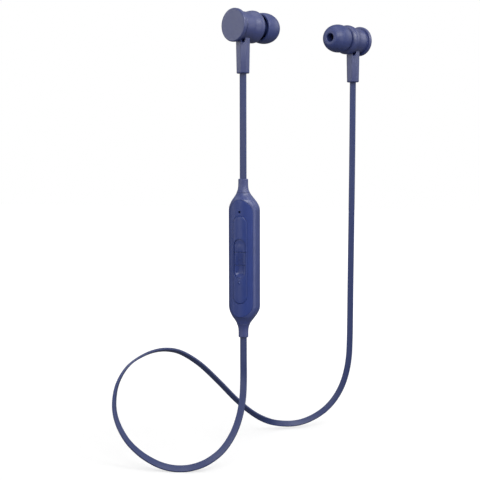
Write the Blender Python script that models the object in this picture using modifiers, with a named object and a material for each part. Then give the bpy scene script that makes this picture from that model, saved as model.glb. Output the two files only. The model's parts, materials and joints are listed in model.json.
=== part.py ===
# Neckband earphones: two in-ear earbuds on one flat cord, with an in-line control module.
# Metres, +Z up. The module's keys face -Y and the origin is the middle of the left earbud,
# where the earbud's axis meets the axis of its stem.
import bmesh
import bpy
from math import asin, ceil, cos, pi, radians, sin, sqrt
from mathutils import Euler, Vector

MM = 0.001
CLEARANCE = 0.3 * MM          # running and assembly gap between neighbours
TURN_STEPS = 32               # facets round an earbud
FINE_STEPS = 16               # facets round small turned pieces

# Earbud, measured along its axis from the stem's axis, with the ear tip at the plus end
CAP_D = 12.7 * MM
CAP_FACE = -5.5 * MM          # outer face of the cap
CAP_RIM = 1.7 * MM            # height of the cap's rim
CAP_CHAMFER = 0.5 * MM
GROOVE_D = 10.4 * MM          # neck of the cap, seen as a groove
GROOVE = 0.9 * MM
SPIGOT = 1.6 * MM             # length of the cap inside the barrel
BARREL_D = 12.5 * MM           # at its front edge
WAIST_D = 10.9 * MM           # at the stem, behind the swelling
BARREL_SWELL = 0.5 * MM       # where the swelling starts
BARREL_WALL = 0.6 * MM        # at the waist
BARREL_FRONT = 7.5 * MM       # front of the barrel
BARREL_ROUND = 0.4 * MM       # rounded front edge
NOZZLE_D = 4.6 * MM
NOZZLE_LIP_D = 5.2 * MM       # barb that holds the ear tip
NOZZLE_LIP = 1.2 * MM
NOZZLE_BORE = 3.8 * MM
NOZZLE_L = 5.7 * MM
FRONT_WALL = 1.1 * MM         # wall between the driver's chamber and the nozzle
TIP_D = 11.9 * MM
TIP_SKIRT = 9.1 * MM          # open edge of the skirt
TIP_MOUTH = 16.6 * MM         # front of the ear tip
TIP_HOLE_D = 3.5 * MM
TIP_SLEEVE_WALL = 0.7 * MM
TIP_SKIN = 0.6 * MM           # thickness of the soft dome
DRIVER_FIT = 0.35 * MM        # gap between the driver and the barrel's bore
DRIVER_BACK = -0.8 * MM
DRIVER_H = 4.3 * MM
MAGNET_D = 7.2 * MM
DIAPHRAGM_DOME = 0.9 * MM
DIAPHRAGM_T = 0.25 * MM
MESH_T = 0.3 * MM
MESH_INSET = 0.6 * MM         # how far the mesh sits inside the nozzle

# Stem under each earbud
STEM_W = 5.1 * MM
STEM_T = 4.7 * MM
STEM_DRAFT = 0.35 * MM        # growth of the stem from its foot to its root
STEM_SEAT = 0.55 * MM         # depth of the stem's saddle under the waist
STEM_CHAMFER = 1.45 * MM
STEM_FLARE = 0.5 * MM         # growth of the stem where it runs into the barrel
STEM_FLARE_L = 3.0 * MM
STEM_END = -18.0 * MM         # lower end, from the earbud's axis
STEM_EDGE = 0.4 * MM

# Where the earbuds hang, and how far each is turned about the upright from facing +Y
LEFT_TURN = radians(-19.5)
RIGHT_TURN = radians(164.5)
RIGHT_PLACE = Vector((16.35 * MM, 79.0 * MM, 1.5 * MM))

# Control module, about its middle
MODULE_MID = -88.8 * MM       # below the left earbud's axis
MODULE_FRONT = 3.6 * MM       # front of the convex cover, from the cord's axis
MODULE_BACK = 3.8 * MM
MODULE_CORNER = 1.2 * MM      # rounded rear edges
PARTING = 1.9 * MM            # edge of the convex face, in front of the cord's axis
COVER_W = 9.9 * MM            # width of the face between its edges
COVER_RIM = 0.6 * MM          # depth of the cover's ledge behind the face's edge
SIDE_STRIP = 0.85 * MM        # how far a side stands out past the face's edge
SIDE_BEVEL = 1.3 * MM         # depth of the rounded bevel behind the face's edge
BODY_HALF = 18.4 * MM         # half the straight length
SHOULDER = 6.8 * MM
SHOULDER_FULLNESS = 0.6       # below 1 the shoulder keeps its width for longer
NECK_W = 5.3 * MM
NECK_D = 4.6 * MM
COVER_REACH = 4.2 * MM        # how far the cover's arch runs over a shoulder
COVER_ARCH = 5.2 * MM         # height of the cover's elliptic ends
NECK_SWEEP = 1.6              # above 1 the front sweeps into the neck in a hollow curve
SIDE_WALL = 1.4 * MM
BACK_WALL = 1.0 * MM
CAVITY_REACH = 0.8 * MM       # how far the hollow runs into a shoulder
BOOT_L = 5.1 * MM
BOOT_END_W = 3.9 * MM
BOOT_END_D = 3.2 * MM
BOOT_TAIL_D = 2.4 * MM
BOOT_TAIL_L = 4.0 * MM

# Control panel and keys, on the cover
PANEL_W = 6.0 * MM
PANEL_L = 33.8 * MM
PANEL_DROP = 0.5 * MM         # the panel's middle lies this far below the module's
PANEL_T = 1.0 * MM
KEYS_W = 4.9 * MM
KEYS_L = 15.0 * MM
FUNCTION_KEY_L = 5.0 * MM
KEY_PROUD = 0.25 * MM
KEY_LIP = 0.35 * MM           # flange that keeps a key behind the panel
KEY_LIP_T = 0.4 * MM
KEY_TRAVEL = 0.35 * MM
NUB_W = 1.6 * MM              # raised bar that marks the function key
NUB_H = 0.4 * MM
NUB_PROUD = 0.12 * MM
SWITCH_SIZE = 2.8 * MM
SWITCH_H = 0.45 * MM
PLUNGER_SIZE = 1.4 * MM
PLUNGER_H = 0.2 * MM
LAMP_D = 1.1 * MM
LAMP_OFFSET = 1.7 * MM        # below the keys
LAMP_PROUD = 0.1 * MM
LAMP_FOOT = 0.4 * MM
MIC_HOLE_D = 1.0 * MM
MIC_HOLE_OFFSET = 1.5 * MM    # above the panel
MIC_W = 2.9 * MM
MIC_L = 2.0 * MM
MIC_H = 0.7 * MM

# Inside the module
BOARD_W = 7.8 * MM
BOARD_FIT = 0.4 * MM          # gap between the board's ends and the hollow
BOARD_T = 0.6 * MM
BATTERY_W = 7.8 * MM
BATTERY_L = 23.0 * MM
BATTERY_ROUND = 0.6 * MM
SOCKET_W = 7.5 * MM           # along Z
SOCKET_H = 2.2 * MM
SOCKET_L = 5.0 * MM
SOCKET_WALL = 0.3 * MM
SOCKET_SLANT = 0.6 * MM       # slanted lower corners of the socket's mouth
TONGUE_W = 3.6 * MM
TONGUE_T = 0.5 * MM
SOCKET_MID = -12.6 * MM       # from the module's middle
FLAP_L = 9.8 * MM             # along Z
FLAP_W = 2.9 * MM
FLAP_T = 0.6 * MM
FLAP_PLUG = 0.5 * MM
FLAP_ROUND = 1.1 * MM

# Flat cord
CORD_W = 2.6 * MM
CORD_T = 1.0 * MM
CORD_EDGE = 0.3 * MM
CORD_STEP = 5.6 * MM          # distance between stations

# Route of the right cord between its two ends, in millimetres, with the turn of its flat face
# about the cord in degrees: down from the module, round the loop, along the U and up
RIGHT_ROUTE = [
    (0.0, 0.0, -128.0, 0), (0.0, 0.0, -136.0, 0), (0.3, -1.5, -143.0, 0), (0.0, -4.0, -150.0, 0),
    (-1.5, -7.0, -156.5, 2), (-4.5, -10.5, -162.0, 6), (-9.0, -14.0, -166.0, 13),
    (-14.0, -16.5, -168.0, 21), (-19.0, -18.7, -168.7, 30), (-24.0, -20.3, -168.0, 41),
    (-29.0, -21.3, -166.2, 50), (-34.5, -21.4, -163.3, 59), (-40.0, -20.6, -159.3, 69),
    (-45.0, -18.6, -154.0, 79), (-48.5, -15.8, -148.7, 90), (-50.8, -11.5, -143.0, 104),
    (-51.5, -7.0, -138.3, 114), (-50.8, -2.0, -134.0, 115), (-48.7, 3.0, -131.0, 111),
    (-45.5, 9.3, -129.0, 93), (-42.0, 15.7, -128.8, 70), (-38.3, 22.0, -131.0, 53),
    (-33.7, 29.5, -136.7, 44), (-29.0, 37.2, -145.0, 38), (-24.2, 45.2, -154.0, 36),
    (-19.6, 53.5, -161.2, 35), (-15.5, 60.8, -165.6, 32), (-10.5, 67.0, -167.8, 33),
    (-5.5, 71.8, -167.6, 38), (-0.5, 75.0, -165.0, 38), (4.5, 77.2, -161.0, 31),
    (9.0, 78.5, -155.5, 23), (12.5, 79.0, -148.5, 15), (14.6, 79.0, -140.0, 11),
    (15.3, 79.0, -130.0, 10), (15.55, 79.0, -107.0, 10), (15.85, 79.0, -80.0, 10),
    (16.15, 79.0, -50.0, 10),
]

# Places that follow from the sizes above
CAP_BACK = CAP_FACE + CAP_RIM
BARREL_BACK = CAP_BACK + GROOVE
BARREL_BORE = WAIST_D - 2 * BARREL_WALL
DRIVER_D = BARREL_BORE - 2 * DRIVER_FIT
NOZZLE_END = BARREL_FRONT + NOZZLE_L
MODULE_W = COVER_W + 2 * SIDE_STRIP
FRONT_SAG = MODULE_FRONT - PARTING
FRONT_RADIUS = ((COVER_W / 2) ** 2 + FRONT_SAG ** 2) / (2 * FRONT_SAG)
SHELL_END = BODY_HALF + SHOULDER
COVER_HALF = BODY_HALF + COVER_REACH
CAVITY_HALF = BODY_HALF + CAVITY_REACH
BOARD_HALF = CAVITY_HALF - BOARD_FIT
BOOT_START = SHELL_END + CLEARANCE
BOOT_END = BOOT_START + BOOT_L
PANEL_BACK = -MODULE_FRONT + PANEL_T
LIP_FRONT = PANEL_BACK + CLEARANCE
LIP_BACK = LIP_FRONT + KEY_LIP_T
SWITCH_FRONT = LIP_BACK + KEY_TRAVEL + CLEARANCE / 2
BOARD_FRONT = SWITCH_FRONT + PLUNGER_H + SWITCH_H + CLEARANCE
BOARD_BACK = BOARD_FRONT + BOARD_T
CAVITY_BACK = MODULE_BACK - BACK_WALL
CAVITY_W = MODULE_W - 2 * SIDE_WALL
COVER_LEDGE = COVER_RIM - PARTING
SOCKET_Y = BOARD_BACK + CLEARANCE + SOCKET_H / 2

for old in list(bpy.data.objects):
    bpy.data.objects.remove(old, do_unlink=True)

parts = bpy.data.collections.new("neckband_earphones")
cutters = bpy.data.collections.new("cutters")
bpy.context.scene.collection.children.link(parts)
bpy.context.scene.collection.children.link(cutters)


def plastic(name, colour, roughness, metallic=0.0):
    material = bpy.data.materials.new(name)
    material.use_nodes = True
    shader = material.node_tree.nodes["Principled BSDF"]
    shader.inputs["Base Color"].default_value = (*colour, 1.0)
    shader.inputs["Roughness"].default_value = roughness
    shader.inputs["Metallic"].default_value = metallic
    return material


INDIGO = plastic("indigo_plastic", (0.075, 0.085, 0.22), 0.45)
INDIGO_KEY = plastic("indigo_key", (0.085, 0.095, 0.24), 0.4)
INDIGO_RUBBER = plastic("indigo_rubber", (0.065, 0.075, 0.20), 0.6)
SILICONE = plastic("indigo_silicone", (0.07, 0.08, 0.21), 0.5)
STEEL = plastic("bright_steel", (0.6, 0.6, 0.62), 0.3, 1.0)
DARK_MESH = plastic("dark_mesh", (0.02, 0.02, 0.03), 0.5, 0.6)
FILM = plastic("clear_film", (0.55, 0.5, 0.4), 0.35)
BOARD_GREEN = plastic("board_green", (0.02, 0.12, 0.05), 0.5)
FOIL = plastic("cell_foil", (0.55, 0.56, 0.58), 0.35, 0.8)
LAMP_WHITE = plastic("lamp_white", (0.75, 0.77, 0.8), 0.3)


def frame_empty(name, place, rotation=(0, 0, 0)):
    empty = bpy.data.objects.new(name, None)
    empty.location = place
    empty.rotation_euler = Euler(rotation)
    parts.objects.link(empty)
    return empty


def add_object(name, mesh, parent, material=None, place=(0, 0, 0)):
    obj = bpy.data.objects.new(name, mesh)
    obj.parent = parent
    obj.location = place
    if material:
        mesh.materials.append(material)
        parts.objects.link(obj)
    else:
        obj.hide_render = True
        obj.display_type = "WIRE"
        cutters.objects.link(obj)
    return obj


def turned(name, profile, parent, material=None, steps=TURN_STEPS, hollow=False):
    """Turn a profile of (radius, height) points about the local Z axis, outer side downwards."""
    mesh = bpy.data.meshes.new(name)
    edges = [(i, i + 1) for i in range(len(profile) - 1)]
    if hollow:
        edges.append((len(profile) - 1, 0))
    mesh.from_pydata([(r, 0, h) for r, h in profile], edges, [])
    obj = add_object(name, mesh, parent, material)
    screw = obj.modifiers.new("turn", "SCREW")
    screw.steps = screw.render_steps = steps
    screw.use_merge_vertices = True
    screw.merge_threshold = 1e-6
    screw.use_smooth_shade = material is not None
    return obj


def loft(name, rings, parent, material=None, place=(0, 0, 0)):
    """Skin closed rings of equal counts, with a flat cap on the first and the last."""
    work = bmesh.new()
    rows = [[work.verts.new(point) for point in ring] for ring in rings]
    count = len(rows[0])
    for low, high in zip(rows, rows[1:]):
        for i in range(count):
            j = (i + 1) % count
            work.faces.new((low[i], low[j], high[j], high[i]))
    work.faces.new(rows[0][::-1])
    work.faces.new(rows[-1])
    bmesh.ops.recalc_face_normals(work, faces=work.faces)
    mesh = bpy.data.meshes.new(name)
    work.to_mesh(mesh)
    work.free()
    return add_object(name, mesh, parent, material, place)


def cut(obj, tool, operation="DIFFERENCE"):
    boolean = obj.modifiers.new(tool.name, "BOOLEAN")
    boolean.object = tool
    boolean.operation = operation


def round_edges(obj, width, segments=2):
    bevel = obj.modifiers.new("edges", "BEVEL")
    bevel.width = width
    bevel.segments = segments
    bevel.limit_method = "ANGLE"
    bevel.angle_limit = radians(40)


def arc(centre, radius, start, end, steps):
    """Points of an arc round a centre, from one angle to another."""
    angles = [start + (end - start) * i / steps for i in range(steps + 1)]
    return [(centre[0] + radius * cos(a), centre[1] + radius * sin(a)) for a in angles]


def stadium(width, length, steps=10):
    """Upright outline with two round ends, about the middle."""
    reach = (length - width) / 2
    top = arc((0, reach), width / 2, 0, pi, steps)
    return top + arc((0, -reach), width / 2, pi, 2 * pi, steps)


def round_box(width, height, corner, steps=2):
    """Outline of a box with round corners, about the middle."""
    x, z = width / 2 - corner, height / 2 - corner
    points = []
    for quarter, middle in enumerate(((x, z), (-x, z), (-x, -z), (x, -z))):
        points += arc(middle, corner, quarter * pi / 2, (quarter + 1) * pi / 2, steps)
    return points


def along_y(outline, y):
    return [(x, y, z) for x, z in outline]


def along_x(outline, x):
    return [(x, y, z) for z, y in outline]


def disc(diameter, steps=FINE_STEPS):
    """Round outline about the middle."""
    return [(x, z) for x, z, level in ellipse(diameter, diameter, 0, steps)]


def ellipse(width, depth, z, steps=20):
    angles = [2 * pi * i / steps for i in range(steps)]
    return [(width / 2 * cos(a), depth / 2 * sin(a), z) for a in angles]


def chamfered(width, depth, chamfer, z):
    """Box outline with cut corners, level at z."""
    x, y = width / 2, depth / 2
    corners = [(x, y - chamfer), (x - chamfer, y), (-x + chamfer, y), (-x, y - chamfer)]
    return [(u, v, z) for u, v in corners + [(-u, -v) for u, v in corners]]


# Earbuds

def ear_tip_profile():
    """Mushroom: mouth, dome, thin skirt, and the sleeve that grips the nozzle."""
    hole = TIP_HOLE_D / 2
    outer = TIP_D / 2
    sleeve_bore = NOZZLE_LIP_D / 2 + CLEARANCE
    sleeve = sleeve_bore + TIP_SLEEVE_WALL
    lip = hole + TIP_SKIN
    widest = TIP_SKIRT + 0.3 * (TIP_MOUTH - TIP_SKIRT)
    steps = 7
    turns = [pi / 2 * i / steps for i in range(steps + 1)]
    rise = TIP_MOUTH - widest
    dome = [(lip + (outer - lip) * sin(a), widest + rise * cos(a)) for a in turns]
    inner = outer - TIP_SKIN
    deep = rise - 1.6 * TIP_SKIN
    under = [(sleeve + (inner - sleeve) * sin(a), widest + deep * cos(a)) for a in reversed(turns)]
    skirt = [(outer - 0.5 * TIP_SKIN, TIP_SKIRT), (inner - 0.2 * TIP_SKIN, TIP_SKIRT)]
    seat = NOZZLE_END + CLEARANCE
    foot = BARREL_FRONT + CLEARANCE
    bore = [(sleeve, foot), (sleeve_bore, foot), (sleeve_bore, seat), (hole, seat)]
    return [(hole, TIP_MOUTH - 0.5 * TIP_SKIN)] + dome + skirt + under + bore


def housing_profile():
    """Barrel that swells from its waist, the nozzle with its barb, and the bore behind them."""
    lip, nozzle = NOZZLE_LIP_D / 2, NOZZLE_D / 2
    barb = lip - nozzle
    outside = [(nozzle, NOZZLE_END), (lip, NOZZLE_END - barb), (lip, NOZZLE_END - NOZZLE_LIP),
               (nozzle, NOZZLE_END - NOZZLE_LIP - barb), (nozzle, BARREL_FRONT)]
    turn = (BARREL_D / 2 - BARREL_ROUND, BARREL_FRONT - BARREL_ROUND)
    outside += arc(turn, BARREL_ROUND, pi / 2, 0, 3)
    for i in range(5, -1, -1):
        rise = sin(pi / 2 * i / 6) ** 2
        outside.append((mix(WAIST_D / 2, BARREL_D / 2, rise), mix(BARREL_SWELL, turn[1], i / 6)))
    edge = BARREL_WALL / 2
    outside += [(WAIST_D / 2, BARREL_BACK + edge), (WAIST_D / 2 - edge, BARREL_BACK)]
    bore, front = BARREL_BORE / 2, BARREL_FRONT - FRONT_WALL
    slope = BARREL_ROUND / 2
    inside = [(bore, BARREL_BACK), (bore, front - BARREL_ROUND), (bore - slope, front - slope)]
    return outside + inside + [(NOZZLE_BORE / 2, front), (NOZZLE_BORE / 2, NOZZLE_END)]


def cap_profile():
    """Round cover with a chamfered face, a neck and a spigot that plugs the barrel."""
    rim, neck = CAP_D / 2, GROOVE_D / 2
    spigot = BARREL_BORE / 2 - CLEARANCE
    shelf = BARREL_BACK - CLEARANCE
    inside = [(0, BARREL_BACK + SPIGOT), (spigot, BARREL_BACK + SPIGOT), (spigot, shelf), (neck, shelf)]
    edge = CAP_CHAMFER
    rear = [(neck, CAP_BACK), (rim - edge, CAP_BACK), (rim, CAP_BACK - edge)]
    face = [(rim, CAP_FACE + CAP_CHAMFER), (rim - CAP_CHAMFER, CAP_FACE), (0, CAP_FACE)]
    return inside + rear + face


def driver_profile():
    """Basket with a raised rim, and the magnet behind it."""
    top = DRIVER_BACK + DRIVER_H
    rim, magnet = DRIVER_D / 2, MAGNET_D / 2
    ledge = (rim - magnet) / 2
    front = [(0, top - ledge), (rim - ledge, top - ledge), (rim - ledge, top), (rim, top)]
    back = [(rim, top - 2 * ledge), (magnet, top - 4 * ledge), (magnet, DRIVER_BACK), (0, DRIVER_BACK)]
    return front + back


def diaphragm_profile():
    """Thin film: a dome in the middle, a rolled surround and a flat rim."""
    rim = DRIVER_D / 2
    seat = DRIVER_BACK + DRIVER_H + CLEARANCE
    dome = rim / 2
    turns = [pi / 2 * i / 4 for i in range(5)]
    upper = [(dome * sin(a), seat + DIAPHRAGM_T + DIAPHRAGM_DOME * cos(a)) for a in turns]
    rolled = arc(((dome + rim) / 2, seat + DIAPHRAGM_T), rim / 6, 0.8 * pi, 0.2 * pi, 4)
    upper += rolled + [(rim, seat + DIAPHRAGM_T)]
    return upper + [(r, h - DIAPHRAGM_T) for r, h in reversed(upper)]


def make_earbud(side, frame):
    turned(side + "_cap", cap_profile(), frame, INDIGO)
    turned(side + "_housing", housing_profile(), frame, INDIGO, hollow=True)
    turned(side + "_driver", driver_profile(), frame, STEEL, FINE_STEPS)
    turned(side + "_diaphragm", diaphragm_profile(), frame, FILM, FINE_STEPS)
    mesh_top = NOZZLE_END - MESH_INSET
    screen = NOZZLE_BORE / 2 - CLEARANCE
    disc = [(0, mesh_top), (screen, mesh_top), (screen, mesh_top - MESH_T), (0, mesh_top - MESH_T)]
    turned(side + "_nozzle_mesh", disc, frame, DARK_MESH, FINE_STEPS)
    turned(side + "_ear_tip", ear_tip_profile(), frame, SILICONE, hollow=True)
    make_stem(side, frame)


def make_stem(side, frame):
    """Chamfered stem that flares into the barrel and is hollowed to fit round it."""
    foot = STEM_END + STEM_EDGE
    root = -WAIST_D / 2 - STEM_FLARE_L
    root_w, root_t = STEM_W + STEM_DRAFT, STEM_T + STEM_DRAFT
    wide, thick = root_w + 2 * STEM_FLARE, root_t + 2 * STEM_FLARE
    rings = [chamfered(STEM_W - STEM_EDGE, STEM_T - STEM_EDGE, STEM_CHAMFER, STEM_END),
             chamfered(STEM_W, STEM_T, STEM_CHAMFER, foot),
             chamfered(root_w, root_t, STEM_CHAMFER, root),
             chamfered(wide, thick, STEM_CHAMFER, 0)]
    # The earbud's frame has its axis along Z and the upright along Y
    upright = [[(x, z, y) for x, y, z in ring] for ring in rings]
    stem = loft(side + "_stem", upright, frame, INDIGO)
    hold = WAIST_D / 2 + STEM_SEAT
    reach = STEM_T
    bar = [(0, reach), (hold, reach), (hold, -reach), (0, -reach)]
    cut(stem, turned(side + "_stem_saddle", bar, frame))


# Control module

def mix(low, high, share):
    return low + (high - low) * share


def face_depth(x):
    """How far the convex face stands in front of the cord's axis."""
    return sqrt(FRONT_RADIUS ** 2 - x * x) - FRONT_RADIUS + MODULE_FRONT


def cover_half_width(z):
    """Half the face's width at a height: straight sides and elliptic ends."""
    past = max(0.0, abs(z) - COVER_HALF + COVER_ARCH)
    return COVER_W / 2 * sqrt(max(0.0, 1 - (past / COVER_ARCH) ** 2))


def shell_section(z):
    """Elliptic front through the face's edge, flat sides and a flat back with round corners."""
    past = max(0.0, abs(z) - BODY_HALF) / SHOULDER
    share = max(0.0, (1 + cos(pi * past)) / 2) ** SHOULDER_FULLNESS
    half, back = mix(NECK_W / 2, MODULE_W / 2, share), mix(NECK_D / 2, MODULE_BACK, share)
    side = mix(0, PARTING - SIDE_BEVEL, share)
    round_x, round_y = mix(0.45 * NECK_W, MODULE_CORNER, share), mix(0.45 * NECK_D, MODULE_CORNER, share)
    if abs(z) < COVER_HALF:
        edge = cover_half_width(z)
        crown = (face_depth(edge) - side) / cos(asin(edge / half))
    else:
        before_end = max(0.0, SHELL_END - abs(z)) / (SHELL_END - COVER_HALF)
        crown = mix(NECK_D / 2, MODULE_FRONT, before_end ** NECK_SWEEP) - side
    front = [(half * x, crown * y - side) for x, y in arc((0, 0), 1, pi, 2 * pi, 18)]
    turn = arc((0, 0), 1, 0, pi / 2, 4)
    right = [(half - round_x + round_x * x, back - round_y + round_y * y) for x, y in turn]
    left = [(-x, y) for x, y in reversed(right)]
    return [(x, y, z) for x, y in front + right + left]


def shell_rings():
    """Straight body, then shoulders that run past the cover's arch down to the necks."""
    base = COVER_HALF - COVER_ARCH
    # No ring lies level with a corner of the cover's outline
    upper = [base - CLEARANCE] + [base + COVER_ARCH * sin(pi / 2 * i / 7) for i in range(1, 7)]
    upper += [mix(COVER_HALF, SHELL_END, i / 5) for i in range(1, 6)]
    return [shell_section(z) for z in [-z for z in reversed(upper)] + upper]


def face_bar():
    """Long bar with the convex face, from which the cover and the panel are cut."""
    sweep = asin(COVER_W / 2 / FRONT_RADIUS)
    centre = (0, FRONT_RADIUS - MODULE_FRONT)
    front = arc(centre, FRONT_RADIUS, 1.5 * pi - sweep, 1.5 * pi + sweep, 14)
    outline = front + [(COVER_W / 2, 0), (-COVER_W / 2, 0)]
    return [[(x, y, z) for x, y in outline] for z in (-SHELL_END, SHELL_END)]


def cover_outline(gap):
    """Long outline with an elliptic arch at each end, drawn in by the gap."""
    wide, tall = COVER_W / 2 - gap, COVER_ARCH - gap
    base = COVER_HALF - COVER_ARCH
    top = [(wide * x, base + tall * z) for x, z in arc((0, 0), 1, 0, pi, 20)]
    return top + [(-x, -z) for x, z in top]


def make_module(frame):
    ahead = -2 * MODULE_FRONT
    rear = loft("rear_shell", shell_rings(), frame, INDIGO)
    cover = loft("front_cover", face_bar(), frame, INDIGO)
    panel = loft("control_panel", face_bar(), frame, INDIGO)

    opening = [along_y(cover_outline(0), ahead), along_y(cover_outline(0), COVER_LEDGE)]
    cut(rear, loft("cover_opening", opening, frame))
    seat = COVER_LEDGE - CLEARANCE
    inside = [along_y(cover_outline(CLEARANCE), ahead), along_y(cover_outline(CLEARANCE), seat)]
    cut(cover, loft("cover_form", inside, frame), "INTERSECT")
    hollow = round_box(CAVITY_W, 2 * CAVITY_HALF, MODULE_CORNER)
    cavity = [along_y(hollow, -MODULE_FRONT), along_y(hollow, CAVITY_BACK)]
    cut(rear, loft("shell_cavity", cavity, frame))

    panel_place = (0, 0, -PANEL_DROP)
    slot = stadium(PANEL_W + 2 * CLEARANCE, PANEL_L + 2 * CLEARANCE)
    cut(cover, loft("panel_slot", [along_y(slot, ahead), along_y(slot, 0)], frame, None, panel_place))
    plate = stadium(PANEL_W, PANEL_L)
    form = [along_y(plate, ahead), along_y(plate, PANEL_BACK)]
    cut(panel, loft("panel_form", form, frame, None, panel_place), "INTERSECT")
    keyhole = stadium(KEYS_W + 2 * CLEARANCE, KEYS_L + 2 * CLEARANCE)
    cut(panel, loft("key_opening", [along_y(keyhole, ahead), along_y(keyhole, 0)], frame))

    lamp_z = -KEYS_L / 2 - LAMP_OFFSET
    ring = disc(LAMP_D + 2 * CLEARANCE)
    cut(panel, loft("lamp_hole", [along_y(ring, ahead), along_y(ring, 0)], frame, None, (0, 0, lamp_z)))
    mic_z = PANEL_L / 2 - PANEL_DROP + MIC_HOLE_OFFSET
    ring = disc(MIC_HOLE_D)
    cut(cover, loft("mic_hole", [along_y(ring, ahead), along_y(ring, 0)], frame, None, (0, 0, mic_z)))

    make_keys(frame)
    make_electronics(frame, lamp_z, mic_z)
    make_charging_port(frame, rear)
    for side, up in (("top", 1), ("bottom", -1)):
        make_boot(side, up, frame, rear)


def make_boot(side, up, frame, rear):
    """Flared strain relief that goes on from the shell's neck; its tail plugs the neck."""
    tail = SHELL_END - BOOT_TAIL_L
    rings = [ellipse(BOOT_TAIL_D, BOOT_TAIL_D, up * tail),
             ellipse(BOOT_TAIL_D, BOOT_TAIL_D, up * BOOT_START)]
    for share in (0, 0.15, 0.35, 0.6, 1):
        slim = 1 - (1 - share) ** 4
        z = up * mix(BOOT_START, BOOT_END, share)
        rings.append(ellipse(mix(NECK_W, BOOT_END_W, slim), mix(NECK_D, BOOT_END_D, slim), z))
    loft(side + "_boot", rings, frame, INDIGO_RUBBER)
    bore = BOOT_TAIL_D + 2 * CLEARANCE
    ends = [ellipse(bore, bore, up * (BODY_HALF - CLEARANCE)), ellipse(bore, bore, up * BOOT_END)]
    cut(rear, loft(side + "_neck_bore", ends, frame))


def make_keys(frame):
    """Three keys share one stadium outline; each has a lip behind the panel."""
    radius = FRONT_RADIUS + KEY_PROUD
    reach = KEYS_L
    bar = [(0, reach), (radius, reach), (radius, -reach), (0, -reach)]
    crown = turned("key_crown", bar, frame, None, 4 * TURN_STEPS)
    crown.location = (0, FRONT_RADIUS - MODULE_FRONT, 0)
    gap = CLEARANCE / 2
    split = FUNCTION_KEY_L / 2
    half = KEYS_W / 2
    end = KEYS_L / 2
    bow = arc((0, end - half), half, 0, pi, 10)
    near, far = split - gap, split + gap
    shapes = {"volume_up": [(half, far)] + bow + [(-half, far)],
              "function": [(half, -near), (half, near), (-half, near), (-half, -near)],
              "volume_down": [(-half, -far)] + [(-x, -z) for x, z in bow] + [(half, -far)]}
    for name, outline in shapes.items():
        low, high = min(z for x, z in outline), max(z for x, z in outline)
        mid = (low + high) / 2
        face = [(x, z - mid) for x, z in outline]
        lip = [(x * (1 + KEY_LIP / half), z) for x, z in face]
        rings = [along_y(face, -2 * MODULE_FRONT), along_y(face, LIP_FRONT),
                 along_y(lip, LIP_FRONT + KEY_LIP_T / 2), along_y(lip, LIP_BACK)]
        key = loft(name + "_key", rings, frame, INDIGO_KEY, (0, 0, mid))
        cut(key, crown, "INTERSECT")
        if name == "function":
            cut(key, make_nub(frame), "UNION")
        make_switch(name + "_switch", frame, mid)


def make_nub(frame):
    """Raised bar on the function key that a thumb can feel."""
    bar = round_box(NUB_W, NUB_H, NUB_H / 4, 1)
    top = -MODULE_FRONT - KEY_PROUD
    return loft("function_nub", [along_y(bar, top - NUB_PROUD), along_y(bar, LIP_FRONT)], frame)


def square(size, y):
    return along_y(round_box(size, size, size / 8, 1), y)


def make_switch(name, frame, z):
    base = SWITCH_FRONT + PLUNGER_H
    rings = [square(PLUNGER_SIZE, SWITCH_FRONT), square(PLUNGER_SIZE, base),
             square(SWITCH_SIZE, base), square(SWITCH_SIZE, base + SWITCH_H)]
    loft(name, rings, frame, STEEL, (0, 0, z))


def make_electronics(frame, lamp_z, mic_z):
    board = round_box(BOARD_W, 2 * BOARD_HALF, MODULE_CORNER)
    loft("circuit_board", [along_y(board, BOARD_FRONT), along_y(board, BOARD_BACK)], frame, BOARD_GREEN)
    cell = round_box(BATTERY_W, BATTERY_L, BATTERY_ROUND)
    front, back = BOARD_BACK + CLEARANCE, CAVITY_BACK - CLEARANCE
    cell_z = BOARD_HALF - BATTERY_L / 2
    battery = loft("battery", [along_y(cell, front), along_y(cell, back)], frame, FOIL, (0, 0, cell_z))
    round_edges(battery, BATTERY_ROUND / 2)
    can_front = BOARD_FRONT - CLEARANCE - MIC_H
    mic = round_box(MIC_W, MIC_L, MIC_L / 10, 1)
    rings = [along_y(mic, can_front), along_y(mic, BOARD_FRONT - CLEARANCE)]
    mic_mid = min(mic_z, BOARD_HALF - MIC_L / 2)
    loft("microphone", rings, frame, STEEL, (0, 0, mic_mid))
    lens = disc(LAMP_D)
    foot = disc(LAMP_D + 2 * LAMP_FOOT + 2 * CLEARANCE)
    rings = [along_y(lens, -MODULE_FRONT - LAMP_PROUD), along_y(lens, LIP_FRONT),
             along_y(foot, LIP_FRONT), along_y(foot, BOARD_FRONT - CLEARANCE)]
    loft("status_lamp", rings, frame, LAMP_WHITE, (0, 0, lamp_z))


def socket_outline(shrink):
    """Mouth of the charging socket as (along Z, across) points, with slanted lower corners."""
    long, high = SOCKET_W / 2 - shrink, SOCKET_H / 2 - shrink
    slant = SOCKET_SLANT
    return [(long, -high), (long, high - slant), (long - slant, high),
            (slant - long, high), (-long, high - slant), (-long, -high)]


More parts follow.
